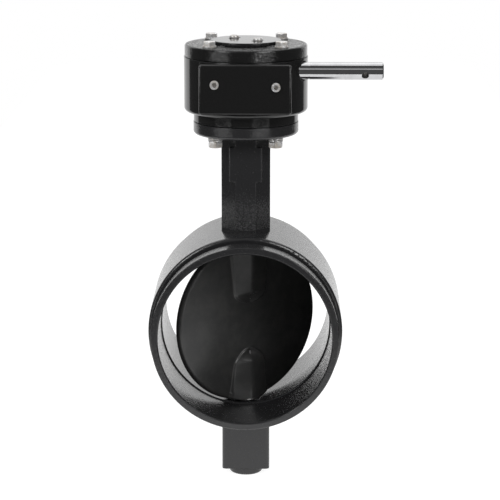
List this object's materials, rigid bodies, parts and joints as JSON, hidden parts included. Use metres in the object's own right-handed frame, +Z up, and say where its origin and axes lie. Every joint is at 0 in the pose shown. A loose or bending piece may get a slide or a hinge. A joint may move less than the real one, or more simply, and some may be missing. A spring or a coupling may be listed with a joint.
{
  "type": "butterfly valve",
  "caption": "Grooved-end butterfly valve with a rubber-covered disc, a tall neck and a worm gear operator with a chromed input shaft.",
  "frame": {"origin": "where the pipe axis crosses the stem axis, in the middle of the bore", "axes": "+Z up the stem towards the gear operator, +X along the input shaft towards its free end, +Y along the pipe, away from the side with the stop screws"},
  "size_m": [0.2105, 0.148, 0.41],
  "materials": {
    "body_paint": "gloss black coating over cast iron",
    "gearbox_paint": "satin black paint over machined and cast iron",
    "disc_rubber": "matte moulded rubber",
    "seal_rubber": "matte",
    "cast_iron": "cast and machined",
    "stem_steel": "turned stainless steel",
    "bearing_bronze": "plain bearing bronze",
    "zinc_steel": "zinc plated",
    "chrome": "polished chrome plate",
    "indicator_black": "gloss black"
  },
  "bodies": {
    "valve": {"valve_body": "body_paint", "lower_neck_bush": "bearing_bronze", "upper_neck_bush": "bearing_bronze", "stub_bush": "bearing_bronze", "stem_o_rings": "seal_rubber", "bottom_plug": "body_paint", "plug_o_ring": "seal_rubber", "thrust_washer": "bearing_bronze", "flange_gasket": "seal_rubber", "flange_bolts": "zinc_steel", "flange_washers": "zinc_steel", "spring_washers": "zinc_steel", "gearbox_housing": "gearbox_paint", "base_bush": "bearing_bronze", "gearbox_cover": "gearbox_paint", "cover_gasket": "seal_rubber", "cover_bush": "bearing_bronze", "cover_bolts": "zinc_steel", "cover_washers": "zinc_steel", "worm_bushes": "bearing_bronze", "outer_bush": "bearing_bronze", "shaft_seal": "seal_rubber", "stop_screw_closed": "zinc_steel", "stop_screw_open": "zinc_steel"},
    "disc_set": {"disc_core": "cast_iron", "disc_rubber": "disc_rubber", "upper_stem": "stem_steel", "lower_stem": "stem_steel", "stem_key": "stem_steel", "gear_quadrant": "cast_iron", "indicator_plate": "indicator_black", "indicator_screws": "zinc_steel"},
    "input_set": {"input_shaft": "chrome", "worm": "stem_steel", "worm_pin": "stem_steel"}
  },
  "joints": [
    {"name": "disc_turn", "type": "hinge", "parent": "valve", "child": "disc_set", "pos_m": [0, 0, 0], "axis": [0, 0, 1], "range_deg": [-36, 54]},
    {"name": "input_turn", "type": "hinge", "parent": "valve", "child": "input_set", "pos_m": [0, -0.0205, 0.234], "axis": [1, 0, 0], "range_deg": [-720, 1080]}
  ],
  "couplings": [
    {"joint": "input_turn", "follows": "disc_turn", "ratio": 20}
  ]
}
